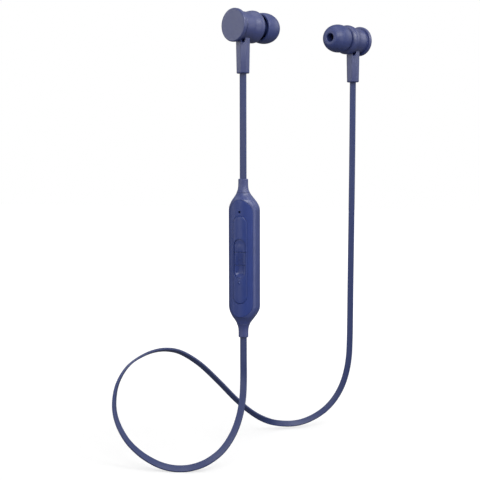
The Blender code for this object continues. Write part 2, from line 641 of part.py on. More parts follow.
def make_charging_port(frame, rear):
    """Socket on the -X side, its opening in the shell and the hinged rubber flap."""
    outside = -MODULE_W / 2
    mouth = outside + FLAP_T + FLAP_PLUG + 2 * CLEARANCE
    back = mouth + SOCKET_L
    place = (0, SOCKET_Y, SOCKET_MID)
    outer, inner = socket_outline(0), socket_outline(SOCKET_WALL)
    socket = loft("charging_socket", [along_x(outer, mouth), along_x(outer, back)], frame, STEEL, place)
    pocket = [along_x(inner, mouth - CLEARANCE), along_x(inner, back - 2 * SOCKET_WALL)]
    cut(socket, loft("socket_pocket", pocket, frame, None, place))
    tongue = round_box(TONGUE_W, TONGUE_T, TONGUE_T / 4, 1)
    blade = [along_x(tongue, mouth + FLAP_PLUG), along_x(tongue, back - SOCKET_WALL)]
    cut(socket, loft("socket_tongue", blade, frame, None, place), "UNION")

    window = round_box(SOCKET_W + 2 * CLEARANCE, SOCKET_H + 2 * CLEARANCE, SOCKET_SLANT)
    through = [along_x(window, 2 * outside), along_x(window, 0)]
    cut(rear, loft("socket_window", through, frame, None, place))
    bed = round_box(FLAP_L + 2 * CLEARANCE, FLAP_W + 2 * CLEARANCE, FLAP_ROUND + CLEARANCE)
    recess = [along_x(bed, 2 * outside), along_x(bed, outside + FLAP_T + CLEARANCE)]
    cut(rear, loft("flap_recess", recess, frame, None, place))

    # The flap's origin is its hinge line, at the lower end of its outer face
    hinge = Vector((outside, SOCKET_Y, SOCKET_MID - FLAP_L / 2))
    lid = [(z + FLAP_L / 2, y) for z, y in round_box(FLAP_L, FLAP_W, FLAP_ROUND)]
    plug = round_box(SOCKET_W - 2 * SOCKET_WALL, SOCKET_H - 2 * SOCKET_WALL, SOCKET_SLANT)
    plug = [(z + FLAP_L / 2, y) for z, y in plug]
    rings = [along_x(lid, 0), along_x(lid, FLAP_T), along_x(plug, FLAP_T), along_x(plug, FLAP_T + FLAP_PLUG)]
    loft("charging_port_cover", rings, frame, INDIGO_RUBBER, hinge)


# Cords

def smooth_stations(route):
    """Points about CORD_STEP apart on a Catmull-Rom curve through the route, with their turns."""
    knots = [Vector(point) for point in route]
    knots = [2 * knots[0] - knots[1]] + knots + [2 * knots[-1] - knots[-2]]
    stations = []
    for a, b, c, d in zip(knots, knots[1:], knots[2:], knots[3:]):
        count = max(1, ceil((c.xyz - b.xyz).length / CORD_STEP - 0.5))
        for i in range(count):
            t = i / count
            bend = (2 * a - 5 * b + 4 * c - d) * t * t + (3 * b - a - 3 * c + d) * t ** 3
            stations.append((2 * b + (c - a) * t + bend) / 2)
    return stations + [knots[-2]]


def cord_section(station, along):
    """Flat section square to the cord; a turn of 0 keeps its wide face to the front."""
    front = Vector((0, -1, 0))
    face = (front - front.dot(along) * along).normalized()
    right = along.cross(face)
    turn = radians(station[3])
    normal = cos(turn) * face + sin(turn) * right
    across = along.cross(normal)
    flat = chamfered(CORD_W, CORD_T, CORD_EDGE, 0)
    return [station.xyz + across * u + normal * v for u, v, w in flat]


def make_cord(name, route):
    stations = smooth_stations(route)
    count = len(stations)
    rings = []
    for i, station in enumerate(stations):
        before, after = stations[max(i - 1, 0)], stations[min(i + 1, count - 1)]
        if i in (0, count - 1):
            along = Vector((0, 0, 1 if after.z > before.z else -1))
        else:
            along = (after.xyz - before.xyz).normalized()
        rings.append(cord_section(station, along))
    loft(name, rings, None, INDIGO_RUBBER)


left_bud = frame_empty("left_bud_frame", (0, 0, 0), (pi / 2, 0, pi + LEFT_TURN))
right_bud = frame_empty("right_bud_frame", RIGHT_PLACE, (pi / 2, 0, pi + RIGHT_TURN))
module = frame_empty("module_frame", (0, 0, MODULE_MID))
make_earbud("left", left_bud)
make_earbud("right", right_bud)
make_module(module)

stem_foot = STEM_END - CLEARANCE
boot_reach = BOOT_END + CLEARANCE
left_top = (0, 0, stem_foot, 0)
make_cord("left_cord", [left_top, (0, 0, MODULE_MID + boot_reach, 0)])
right_top = (RIGHT_PLACE.x, RIGHT_PLACE.y, RIGHT_PLACE.z + stem_foot, RIGHT_ROUTE[-1][3])
right_points = [(x * MM, y * MM, z * MM, turn) for x, y, z, turn in RIGHT_ROUTE]
make_cord("right_cord", [(0, 0, MODULE_MID - boot_reach, 0)] + right_points + [right_top])
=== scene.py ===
# Neckband earphones: finished surfaces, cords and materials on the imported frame, in metres with +Z up
import json
import math
import bpy
import numpy as np
from mathutils import Euler, Matrix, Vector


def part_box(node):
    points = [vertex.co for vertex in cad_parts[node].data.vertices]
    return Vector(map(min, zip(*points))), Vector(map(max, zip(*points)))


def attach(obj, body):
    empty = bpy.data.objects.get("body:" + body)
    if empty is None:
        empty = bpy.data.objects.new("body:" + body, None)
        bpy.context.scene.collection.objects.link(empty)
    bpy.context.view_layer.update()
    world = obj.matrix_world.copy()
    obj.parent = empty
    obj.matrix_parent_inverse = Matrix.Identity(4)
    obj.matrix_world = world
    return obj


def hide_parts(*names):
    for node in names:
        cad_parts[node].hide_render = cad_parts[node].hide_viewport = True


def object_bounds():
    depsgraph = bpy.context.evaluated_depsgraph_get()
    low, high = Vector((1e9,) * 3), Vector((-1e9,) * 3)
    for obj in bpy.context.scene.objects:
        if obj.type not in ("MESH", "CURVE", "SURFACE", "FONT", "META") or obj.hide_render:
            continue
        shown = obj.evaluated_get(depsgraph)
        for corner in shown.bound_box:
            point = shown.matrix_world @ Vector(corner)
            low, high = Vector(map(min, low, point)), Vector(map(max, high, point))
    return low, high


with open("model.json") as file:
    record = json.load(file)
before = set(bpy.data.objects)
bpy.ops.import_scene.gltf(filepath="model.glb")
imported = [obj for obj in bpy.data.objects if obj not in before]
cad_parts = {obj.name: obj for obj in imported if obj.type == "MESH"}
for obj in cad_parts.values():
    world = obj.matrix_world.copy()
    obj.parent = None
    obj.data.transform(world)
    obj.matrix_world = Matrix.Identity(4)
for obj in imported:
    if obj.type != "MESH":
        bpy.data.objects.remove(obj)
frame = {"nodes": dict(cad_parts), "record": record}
cadLow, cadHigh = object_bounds()
mm = 0.001
mounts = {mount["name"]: mount for mount in frame["record"]["mounts"]}
print("frame loaded:", len(frame["nodes"]), "nodes")


# Camera at the photograph's angle. Sizes in metres and degrees, focal length and image width in pixels.
photo = dict(place=(0.1891, -0.4083, -0.0558), azimuth=25.012, tiltDown=3.3, roll=-0.11, focal=1170,
             imageWidth=480)


def makeCamera():
    data = bpy.data.cameras.new("photoCamera")
    data.sensor_width = 36
    data.lens = data.sensor_width * photo["focal"] / photo["imageWidth"]
    data.clip_start = 0.01
    data.clip_end = 50
    camera = bpy.data.objects.new("photoCamera", data)
    camera.location = photo["place"]
    level = Euler((math.radians(90 - photo["tiltDown"]), 0, math.radians(photo["azimuth"]))).to_matrix()
    camera.rotation_euler = (level @ Matrix.Rotation(math.radians(photo["roll"]), 3, "Z")).to_euler()
    bpy.context.scene.collection.objects.link(camera)
    bpy.context.scene.camera = camera


makeCamera()
print("camera placed")


# Materials: a Principled shader whose colour, roughness and bump come from noise on Object coordinates

def startMaterial(name):
    material = bpy.data.materials.new(name)
    material.use_nodes = True
    tree = material.node_tree
    return material, tree, tree.nodes["Principled BSDF"]


def addNode(tree, kind, links=None, **values):
    # one node; links feeds sockets by name, values sets sockets by name or properties
    node = tree.nodes.new(kind)
    for key, value in values.items():
        if key in node.inputs:
            node.inputs[key].default_value = value
        else:
            setattr(node, key, value)
    for key, source in (links or {}).items():
        tree.links.new(source, node.inputs[key])
    return node


def feed(node, socket, source):
    node.id_data.links.new(source, node.inputs[socket])


def objectPlace(tree):
    return addNode(tree, "ShaderNodeTexCoord").outputs["Object"]


def worked(tree, operation, *sources):
    # the result of one calculation on one or two sources
    return addNode(tree, "ShaderNodeMath", dict(enumerate(sources)), operation=operation).outputs["Value"]


def addBump(tree, shader, height, strength, depth):
    bump = addNode(tree, "ShaderNodeBump", {"Height": height}, Strength=strength, Distance=depth)
    feed(shader, "Normal", bump.outputs["Normal"])


def noiseOn(tree, vector, scale, detail=2.0, roughness=0.5):
    return addNode(tree, "ShaderNodeTexNoise", {"Vector": vector}, Scale=scale, Detail=detail,
                   Roughness=roughness).outputs["Fac"]


def between(tree, factor, low, high, fromLow=0.3, fromHigh=0.7):
    # a number that runs from low to high as the factor runs over its own range
    node = addNode(tree, "ShaderNodeMapRange", {"Value": factor})
    for key, value in (("From Min", fromLow), ("From Max", fromHigh), ("To Min", low), ("To Max", high)):
        node.inputs[key].default_value = value
    return node.outputs["Result"]


def colourBetween(tree, factor, first, second, low=0.3, high=0.7):
    ramp = addNode(tree, "ShaderNodeValToRGB", {"Fac": factor})
    ramp.color_ramp.elements[0].position = low
    ramp.color_ramp.elements[0].color = (*first, 1)
    ramp.color_ramp.elements[1].position = high
    ramp.color_ramp.elements[1].color = (*second, 1)
    return ramp.outputs["Color"]


def shade(colour, share):
    return tuple(min(1.0, part * share) for part in colour)


moulding = dict(mottleScale=170, patchScale=900, glossSpread=0.05, bumpStrength=0.35)


def mouldedFinish(name, colour, roughness, grain, depth, mottle=0.05, specular=0.5):
    # moulded surface: a broad mottle in the colour, finer patches in the gloss, and a fine grain as bump
    material, tree, shader = startMaterial(name)
    place = objectPlace(tree)
    broad = noiseOn(tree, place, moulding["mottleScale"], 3)
    patches = noiseOn(tree, place, moulding["patchScale"], 3, 0.6)
    fine = noiseOn(tree, place, grain, 2, 0.6)
    spread = moulding["glossSpread"]
    dark, light = shade(colour, 1 - mottle), shade(colour, 1 + mottle)
    feed(shader, "Base Color", colourBetween(tree, broad, dark, light))
    feed(shader, "Roughness", between(tree, patches, roughness - spread, roughness + spread))
    addBump(tree, shader, fine, moulding["bumpStrength"], depth)
    shader.inputs["Specular IOR Level"].default_value = specular
    return material


finish = dict(
    bud=dict(colour=(0.0287, 0.0418, 0.158), roughness=0.40, grain=5200, depth=0.02 * mm, specular=1.0),
    shell=dict(colour=(0.0248, 0.0433, 0.188), roughness=0.40, grain=5200, depth=0.02 * mm, specular=1.0),
    face=dict(colour=(0.0163, 0.0383, 0.2), roughness=0.42, grain=5200, depth=0.02 * mm, specular=0.53),
    panel=dict(colour=(0.0163, 0.0375, 0.19), roughness=0.38, grain=6500, depth=0.012 * mm, specular=0.53),
    key=dict(colour=(0.0163, 0.036, 0.18), roughness=0.35, grain=6500, depth=0.008 * mm, specular=0.58),
    boot=dict(colour=(0.031, 0.047, 0.185), roughness=0.46, grain=4200, depth=0.02 * mm, specular=0.94),
    tip=dict(colour=(0.0283, 0.0435, 0.161), roughness=0.43, grain=7000, depth=0.008 * mm, specular=0.67),
    lamp=dict(colour=(0.05, 0.08, 0.28), roughness=0.3, grain=5000, depth=0.005 * mm, mottle=0.04),
)
budFinish = mouldedFinish("satinIndigoBud", **finish["bud"])
shellFinish = mouldedFinish("satinIndigoShell", **finish["shell"])
faceFinish = mouldedFinish("satinIndigoFace", **finish["face"])
panelFinish = mouldedFinish("satinIndigoPanel", **finish["panel"])
keyFinish = mouldedFinish("smoothIndigoKey", **finish["key"])
bootFinish = mouldedFinish("matteIndigoElastomer", **finish["boot"])
siliconeFinish = mouldedFinish("softIndigoSilicone", **finish["tip"])
lampFinish = mouldedFinish("milkyLampLens", **finish["lamp"])

cordLook = dict(colour=(0.022, 0.0377, 0.14), roughness=0.44, glossSpread=0.06, specular=0.66,
                streaks=(60, 90, 1), grain=4600, depth=0.02 * mm)


def extrudedFinish(name):
    # extruded elastomer: faint lines along the cord, and a fine matte grain
    look = cordLook
    colour, roughness, spread = look["colour"], look["roughness"], look["glossSpread"]
    material, tree, shader = startMaterial(name)
    place = objectPlace(tree)
    along = addNode(tree, "ShaderNodeAttribute", attribute_name="along").outputs["Fac"]
    around = addNode(tree, "ShaderNodeAttribute", attribute_name="around").outputs["Fac"]
    lines = addNode(tree, "ShaderNodeCombineXYZ", {"X": along, "Y": around}).outputs["Vector"]
    stretched = addNode(tree, "ShaderNodeMapping", {"Vector": lines}, Scale=look["streaks"]).outputs["Vector"]
    streak = noiseOn(tree, stretched, 1.0, 3, 0.6)
    grain = noiseOn(tree, place, look["grain"], 2, 0.6)
    feed(shader, "Base Color", colourBetween(tree, streak, shade(colour, 0.9), shade(colour, 1.1)))
    feed(shader, "Roughness", between(tree, streak, roughness - spread, roughness + spread))
    addBump(tree, shader, worked(tree, "ADD", streak, grain), 0.3, look["depth"])
    shader.inputs["Specular IOR Level"].default_value = look["specular"]
    return material


cordFinish = extrudedFinish("matteIndigoCord")


def brushedFinish(name, colour, roughness, stretch):
    # metal with fine lines: noise drawn out along one direction drives colour, gloss and bump
    material, tree, shader = startMaterial(name)
    place = objectPlace(tree)
    drawn = addNode(tree, "ShaderNodeMapping", {"Vector": place}, Scale=stretch).outputs["Vector"]
    lines = noiseOn(tree, drawn, 1.0, 4, 0.6)
    feed(shader, "Base Color", colourBetween(tree, lines, shade(colour, 0.8), shade(colour, 1.1)))
    feed(shader, "Roughness", between(tree, lines, roughness - 0.08, roughness + 0.1))
    addBump(tree, shader, lines, 0.25, 0.01 * mm)
    shader.inputs["Metallic"].default_value = 1.0
    return material


def crinkledFinish(name, colour, creaseScale):
    # foil pouch: cell borders as creases over a soft waviness
    material, tree, shader = startMaterial(name)
    place = objectPlace(tree)
    cells = addNode(tree, "ShaderNodeTexVoronoi", {"Vector": place}, feature="DISTANCE_TO_EDGE",
                    Scale=creaseScale)
    wave = noiseOn(tree, place, creaseScale * 2, 3)
    feed(shader, "Base Color", colourBetween(tree, wave, shade(colour, 0.85), shade(colour, 1.1)))
    feed(shader, "Roughness", between(tree, wave, 0.25, 0.45))
    addBump(tree, shader, worked(tree, "ADD", cells.outputs["Distance"], wave), 0.4, 0.05 * mm)
    shader.inputs["Metallic"].default_value = 0.9
    return material


def circuitFinish(name, mask, copper):
    # green lacquer with paler tracks in a brick pattern on X and Z, and round pads
    material, tree, shader = startMaterial(name)
    place = objectPlace(tree)
    flat = addNode(tree, "ShaderNodeSeparateXYZ", {"Vector": place})
    sides = {"X": flat.outputs["X"], "Y": flat.outputs["Z"]}
    plane = addNode(tree, "ShaderNodeCombineXYZ", sides).outputs["Vector"]
    tracks = addNode(tree, "ShaderNodeTexBrick", {"Vector": plane}, Scale=420.0)
    tracks.inputs["Mortar Size"].default_value = 0.06
    pads = addNode(tree, "ShaderNodeTexVoronoi", {"Vector": plane}, Scale=700.0).outputs["Distance"]
    padShare = between(tree, pads, 1, 0, 0.2, 0.24)
    lacquer = colourBetween(tree, tracks.outputs["Fac"], mask, shade(mask, 2.2), 0.2, 0.8)
    colour = addNode(tree, "ShaderNodeMix", {"Factor": padShare}, data_type="RGBA")
    feed(colour, 6, lacquer)
    colour.inputs[7].default_value = (*copper, 1)
    feed(shader, "Base Color", colour.outputs[2])
    feed(shader, "Roughness", between(tree, padShare, 0.4, 0.3, 0, 1))
    addBump(tree, shader, tracks.outputs["Fac"], 0.4, 0.03 * mm)
    return material


def ringedFinish(name, colour, centre, rings):
    # sound film: fine ripples as rings round its own middle
    material, tree, shader = startMaterial(name)
    place = objectPlace(tree)
    away = addNode(tree, "ShaderNodeVectorMath", {0: place}, operation="DISTANCE")
    away.inputs[1].default_value = centre
    phase = addNode(tree, "ShaderNodeMath", {0: away.outputs["Value"]}, operation="MULTIPLY")
    phase.inputs[1].default_value = rings
    ripple = worked(tree, "SINE", phase.outputs["Value"])
    feed(shader, "Base Color", colourBetween(tree, ripple, shade(colour, 0.85), shade(colour, 1.05), 0, 1))
    feed(shader, "Roughness", between(tree, ripple, 0.2, 0.32, -1, 1))
    addBump(tree, shader, ripple, 0.4, 0.03 * mm)
    return material


def wovenFinish(name, colour, across, pitch):
    # woven screen: wires along Z and wires across it, each a raised sine, the taller one on top; the gaps
    # between the wires are darkened with painted shade
    material, tree, shader = startMaterial(name)
    place = objectPlace(tree)
    waves = []
    for direction in (across, (0, 0, 1)):
        travel = addNode(tree, "ShaderNodeVectorMath", {0: place}, operation="DOT_PRODUCT")
        travel.inputs[1].default_value = tuple(part * 2 * math.pi / pitch for part in direction)
        waves.append(worked(tree, "SINE", travel.outputs["Value"]))
    wires = worked(tree, "MAXIMUM", *waves)
    # painted shade: the colour falls to 0.15 of the wires' colour in the gaps, where both waves are low
    feed(shader, "Base Color", colourBetween(tree, wires, shade(colour, 0.15), colour, 0, 0.8))
    feed(shader, "Roughness", between(tree, wires, 0.6, 0.3, 0, 1))
    addBump(tree, shader, wires, 0.8, 0.05 * mm)
    shader.inputs["Metallic"].default_value = 0.8
    return material


steelFinish = brushedFinish("brushedPlatedSteel", (0.6, 0.6, 0.62), 0.3, (6000, 6000, 300))
foilFinish = crinkledFinish("crinkledFoil", (0.55, 0.56, 0.58), 500)
boardFinish = circuitFinish("greenBoard", (0.012, 0.09, 0.035), (0.62, 0.42, 0.16))
sound = dict(filmColour=(0.55, 0.5, 0.4), filmRings=9000, screenColour=(0.1, 0.1, 0.16), wirePitch=0.3 * mm)


def dressSolids():
    # finishes for the CAD solids that stay as they are
    metal = ["volume_up_switch", "function_switch", "volume_down_switch", "microphone", "charging_socket",
             "left_driver", "right_driver"]
    dressed = {steelFinish: metal, foilFinish: ["battery"], boardFinish: ["circuit_board"]}
    for side in ("left", "right"):
        axis = mounts[side + "_cap_face"]["axis"]
        low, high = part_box(side + "_diaphragm")
        film = ringedFinish(side + "SoundFilm", sound["filmColour"], tuple((low + high) / 2),
                            sound["filmRings"])
        screen = wovenFinish(side + "WovenScreen", sound["screenColour"], (-axis[1], axis[0], 0),
                             sound["wirePitch"])
        dressed[film] = [side + "_diaphragm"]
        dressed[screen] = [side + "_nozzle_mesh"]
    for material, names in dressed.items():
        for name in names:
            mesh = frame["nodes"][name].data
            mesh.materials.clear()
            mesh.materials.append(material)


dressSolids()
print("finishes made")


# Surface helpers

def unit(vectors):
    return vectors / np.linalg.norm(vectors, axis=-1, keepdims=True)


def easeBetween(values, low, high):
    share = np.clip((values - low) / (high - low), 0, 1)
    return share * share * (3 - 2 * share)


def gridFaces(rows, cols, joinRows):
    # four corner numbers for each cell of a grid whose columns always close into rings
    r, c = np.meshgrid(np.arange(rows if joinRows else rows - 1), np.arange(cols), indexing="ij")
    nextRow, nextCol = (r + 1) % rows, (c + 1) % cols
    cells = [r * cols + c, r * cols + nextCol, nextRow * cols + nextCol, nextRow * cols + c]
    return np.stack(cells, axis=-1).reshape(-1, 4)


def skinRings(grid, joinRows=False):
    # points and faces of a skin over rings; loose ends close in a fan to their own middle
    rows, cols = grid.shape[:2]
    points = grid.reshape(-1, 3)
    quads = gridFaces(rows, cols, joinRows)
    corners = points[quads]
    cross = np.cross(corners[:, 2] - corners[:, 0], corners[:, 3] - corners[:, 1])
    middles = corners.mean(axis=1) - points.mean(axis=0)
    fans = np.zeros((0, 3), int)
    if not joinRows:
        points = np.vstack([points, grid[0].mean(axis=0), grid[-1].mean(axis=0)])
        ring = np.arange(cols)
        after = (ring + 1) % cols
        last = (rows - 1) * cols
        first = np.stack([after, ring, np.full(cols, rows * cols)], axis=-1)
        final = np.stack([last + ring, last + after, np.full(cols, rows * cols + 1)], axis=-1)
        fans = np.vstack([first, final])
    if (cross * middles).sum() < 0:  # the enclosed volume would be negative: turn every face round
        quads, fans = quads[:, ::-1], fans[:, ::-1]
    return points, quads.tolist() + fans.tolist()


def makePiece(name, grid, material, body, nodes=(), joinRows=False, sharpAngle=38):
    points, faces = skinRings(grid, joinRows)
    mesh = bpy.data.meshes.new(name)
    mesh.from_pydata(points.tolist(), [], faces)
    mesh.materials.append(material)
    mesh.shade_smooth()
    mesh.set_sharp_from_angle(angle=math.radians(sharpAngle))
    piece = bpy.data.objects.new(name, mesh)
    bpy.context.scene.collection.objects.link(piece)
    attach(piece, body)
    if nodes:
        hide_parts(*nodes)
    return piece


def filletPath(corners, radii, steps=6, closed=True):
    # each corner becomes the arc of its radius that touches both of its sides; ends of an open path stay
    points = np.array(corners, float)
    size = np.maximum(np.array(radii, float), 1e-9)
    toBefore = unit(np.roll(points, 1, axis=0) - points)
    toAfter = unit(np.roll(points, -1, axis=0) - points)
    half = np.arccos(np.clip((toBefore * toAfter).sum(axis=1), -1, 0.999999)) / 2
    sweep = np.maximum(np.pi - 2 * half, 1e-6)
    centre = points + unit(toBefore + toAfter + 1e-12) * (size / np.sin(half))[:, None]
    start = (points + toBefore * (size / np.tan(half))[:, None] - centre) / size[:, None]
    end = (points + toAfter * (size / np.tan(half))[:, None] - centre) / size[:, None]
    share = np.linspace(0, 1, steps + 1)
    first = np.sin((1 - share) * sweep[:, None]) / np.sin(sweep)[:, None]
    second = np.sin(share * sweep[:, None]) / np.sin(sweep)[:, None]
    bow = first[..., None] * start[:, None] + second[..., None] * end[:, None]
    arcs = centre[:, None] + size[:, None, None] * bow
    if not closed:
        arcs = np.concatenate([points[:1], arcs[1:-1].reshape(-1, 2), points[-1:]])
    path = arcs.reshape(-1, 2)
    apart = np.linalg.norm(path - np.roll(path, 1, axis=0), axis=1) > 1e-6
    if not closed:
        apart[0] = True
    return path[apart]


def evenPoints(path, count):
    # the same closed path with evenly spaced points
    loop = np.vstack([path, path[:1]])
    travel = np.concatenate([[0], np.linalg.norm(np.diff(loop, axis=0), axis=1).cumsum()])
    stops = np.arange(count) * travel[-1] / count
    return np.column_stack([np.interp(stops, travel, loop[:, 0]), np.interp(stops, travel, loop[:, 1])])


# Flat cords: a rounded strip carried along a smooth route. Each point: x, y, z in mm and the face's turn
# about the cord in degrees.
cordSize = dict(width=2.6, thickness=1.0, edge=0.25, perSpan=14, intoEnd=1.2)
leftRoute = [(0, 0, -18.3, 0), (0, 0, -28, 0), (0, 0, -40, 0), (0, 0, -50, 0), (0, 0, -57.9, 0)]
rightRoute = [
    (0, 0, -119.7, 0), (0, 0, -128, 0), (0, 0, -136, -4), (0.3, -1.5, -143, -8), (0, -4, -150, -8),
    (-1.5, -7, -156.5, -5), (-4.4, -10.5, -162.1, 2), (-8.9, -14, -166.1, 12), (-14, -16.5, -168.2, 25),
    (-19, -18.7, -168.7, 35), (-24, -20.3, -168, 42), (-29, -21.3, -166.2, 55), (-34.6, -21.4, -163.4, 70),
    (-40.2, -20.7, -159.4, 83), (-45.3, -18.7, -154.1, 92), (-48.7, -15.9, -148.7, 103),
    (-50.9, -11.5, -143, 111), (-51.5, -7, -138.3, 115), (-50.7, -2, -134.1, 113), (-48.6, 3, -131.2, 103),
    (-45.4, 9.3, -129.2, 81), (-42, 15.7, -129.1, 51), (-38.4, 22, -131.2, 28), (-33.8, 29.5, -136.8, 17),
    (-29, 37.2, -145, 15), (-24.2, 45.2, -154, 13), (-19.7, 53.5, -161.3, 5), (-15.5, 60.8, -165.6, -18),
    (-10.5, 67, -167.4, -31), (-5.6, 71.8, -167.3, -28), (-0.4, 75, -165.1, -17), (4.7, 77.3, -161.2, -8),
    (9.1, 78.6, -155.6, -2.6), (12.5, 79, -148.5, 1.8), (14.6, 79, -140, 4.6), (15.3, 79, -130, 6),
    (15.55, 79, -107, 6), (15.85, 79, -80, 6), (16.15, 79, -50, 6), (16.35, 79, -16.8, 6),
]


def smoothRoute(route):
    # Catmull-Rom: each span is the cubic through its two points that runs there along its neighbours' chord
    points = np.array(route, float)
    points = np.vstack([2 * points[0] - points[1], points, 2 * points[-1] - points[-2]])
    a, b, c, d = (points[i:len(points) - 3 + i, None] for i in range(4))
    t = (np.arange(cordSize["perSpan"]) / cordSize["perSpan"])[None, :, None]
    curve = b + ((c - a) * t + (2 * a - 5 * b + 4 * c - d) * t ** 2 + (3 * b - a - 3 * c + d) * t ** 3) / 2
    return np.vstack([curve.reshape(-1, 4), points[-2]])


def makeCord(name, route, node):
    # the strip's section stands square to the route at each point, turned about it
    line = smoothRoute(route)
    upright = np.array([0, 0, cordSize["intoEnd"], 0])
    first = line[0] - upright * np.sign(line[1, 2] - line[0, 2])
    last = line[-1] + upright * np.sign(line[-1, 2] - line[-2, 2])
    line = np.vstack([first, line, last])
    centre, turn = line[:, :3] * mm, np.radians(line[:, 3])[:, None]
    along = unit(np.gradient(centre, axis=0))
    front = np.array([0.0, -1.0, 0.0])
    face = unit(front - (along @ front)[:, None] * along)
    normal = np.cos(turn) * face + np.sin(turn) * np.cross(along, face)
    across = np.cross(along, normal)
    w, t = cordSize["width"] / 2 * mm, cordSize["thickness"] / 2 * mm
    strip = filletPath([(w, t), (-w, t), (-w, -t), (w, -t)], [cordSize["edge"] * mm] * 4, 5)
    grid = centre[:, None] + strip[None, :, :1] * across[:, None] + strip[None, :, 1:] * normal[:, None]
    piece = makePiece(name, grid, cordFinish, "earphones", [node], sharpAngle=60)
    travel = np.concatenate([[0], np.linalg.norm(np.diff(centre, axis=0), axis=1).cumsum()])
    ringShare = np.arange(len(strip)) / len(strip)
    measures = dict(along=np.repeat(travel, len(strip)), around=np.tile(ringShare, len(centre)))
    for label, values in measures.items():
        values = np.append(values, [values[0], values[-1]])  # and the middles of the two closing fans
        piece.data.attributes.new(label, "FLOAT", "POINT").data.foreach_set("value", values)
    print(name, "length", round(travel[-1] / mm, 1), "mm")


makeCord("leftFlatCord", leftRoute, "left_cord")
makeCord("rightFlatCord", rightRoute, "right_cord")


# Earbuds. Sizes in mm; heights run along the earbud's axis from the stem's axis, the ear tip at the plus end.
bud = dict(turns=128)
cap = dict(radius=6.35, face=-5.5, dish=0.1, rimRound=0.5, back=-3.8, backRound=0.5, neck=5.2, neckRound=0.1,
           foot=-1.5, footRound=0.2, eye=0.3)  # eye: where the fans that close the ends start


def budPlace(side, points):
    # local side, up and axis directions to the frame, from the cap's mount
    mount = mounts[side + "_cap_face"]
    axis = -np.array(mount["axis"])
    up = np.array([0.0, 0.0, 1.0])
    middle = np.array(mount["pos_m"]) - axis * cap["face"] * mm
    basis = np.stack([np.cross(up, axis), up, axis])
    return middle + points * mm @ basis


def turnProfile(profile, turns=bud["turns"]):
    # a profile of (radius, height) turned about the height axis
    angle = np.arange(turns) * 2 * np.pi / turns
    radius, height = profile[:, :1], profile[:, 1:]
    return np.stack([radius * np.cos(angle), radius * np.sin(angle), height + 0 * angle], axis=-1)


def makeCap(side):
    # face with a shallow dish, round rim, then the neck that plugs the barrel
    rise = np.linspace(cap["eye"], cap["radius"] - 2 * cap["rimRound"], 12)
    face = np.stack([rise, cap["face"] + cap["dish"] * (1 - (rise / rise[-1]) ** 2)], axis=-1)
    corners = [face[-1], (cap["radius"], cap["face"]), (cap["radius"], cap["back"]),
               (cap["neck"], cap["back"]), (cap["neck"], cap["foot"]), (cap["eye"], cap["foot"])]
    radii = [0, cap["rimRound"], cap["backRound"], cap["neckRound"], cap["footRound"], 0]
    rim = filletPath(corners, radii, closed=False)
    grid = budPlace(side, turnProfile(np.vstack([face[:-1], rim])))
    makePiece(side + "RoundCap", grid, budFinish, "earphones", [side + "_cap"])


barrel = dict(radius=6.25, waist=5.45, swell=0.5, back=-2.9, backRound=0.25, front=6.9, frontRound=1.9,
              nozzle=2.3, nozzleRound=0.4, nozzleEnd=13.2, barb=0.3, barbLength=1.2, barbRound=0.15,
              lipRound=0.25, bore=1.9, chamber=4.85, chamberFront=6.4, chamberRound=0.8, smallRound=0.1)


def barrelRadius(height):
    # from the waist to the front edge the radius grows by a squared sine of the height
    b = barrel
    share = np.clip((height - b["swell"]) / (b["front"] - b["frontRound"] - b["swell"]), 0, 1)
    return b["waist"] + (b["radius"] - b["waist"]) * np.sin(share * np.pi / 2) ** 2


def makeBarrel(side):
    # closed profile: swelling barrel, front, barbed nozzle, sound bore and the driver's chamber
    b = barrel
    lip = b["nozzle"] + b["barb"]
    rise = np.linspace(b["swell"], b["front"] - b["frontRound"], 24)
    barbStart = b["nozzleEnd"] - b["barbLength"]
    corners = [(b["radius"], rise[-2]), (b["radius"], b["front"]), (b["nozzle"], b["front"]),
               (b["nozzle"], barbStart - b["barb"]), (lip, barbStart), (lip, b["nozzleEnd"]),
               (b["bore"], b["nozzleEnd"]), (b["bore"], b["chamberFront"]),
               (b["chamber"], b["chamberFront"]), (b["chamber"], b["back"]), (b["waist"], b["back"]),
               (b["waist"], b["swell"])]
    small = b["smallRound"]
    radii = [0, b["frontRound"], b["nozzleRound"], small, b["barbRound"], b["lipRound"], small, small,
             b["chamberRound"], small, b["backRound"], 0]
    outline = filletPath(corners, radii, 10, closed=False)
    swelling = np.stack([barrelRadius(rise), rise], axis=-1)
    grid = budPlace(side, turnProfile(np.vstack([outline[1:], swelling[1:-1]])))
    makePiece(side + "Barrel", grid, budFinish, "earphones", [side + "_housing"], True)


tip = dict(radius=5.95, mouth=17.1, skirt=8.9, widest=11.35, hole=1.75, lip=2.4, skin=0.55, rimSkin=0.95,
           rimRound=0.3, skirtDraw=0.28, crown=1.21, sleeve=3.6, sleeveBore=2.75, sleeveFoot=7.7, seat=13.4,
           footRound=0.25, boreRound=0.15, seatRound=0.1, mouthRound=0.35)


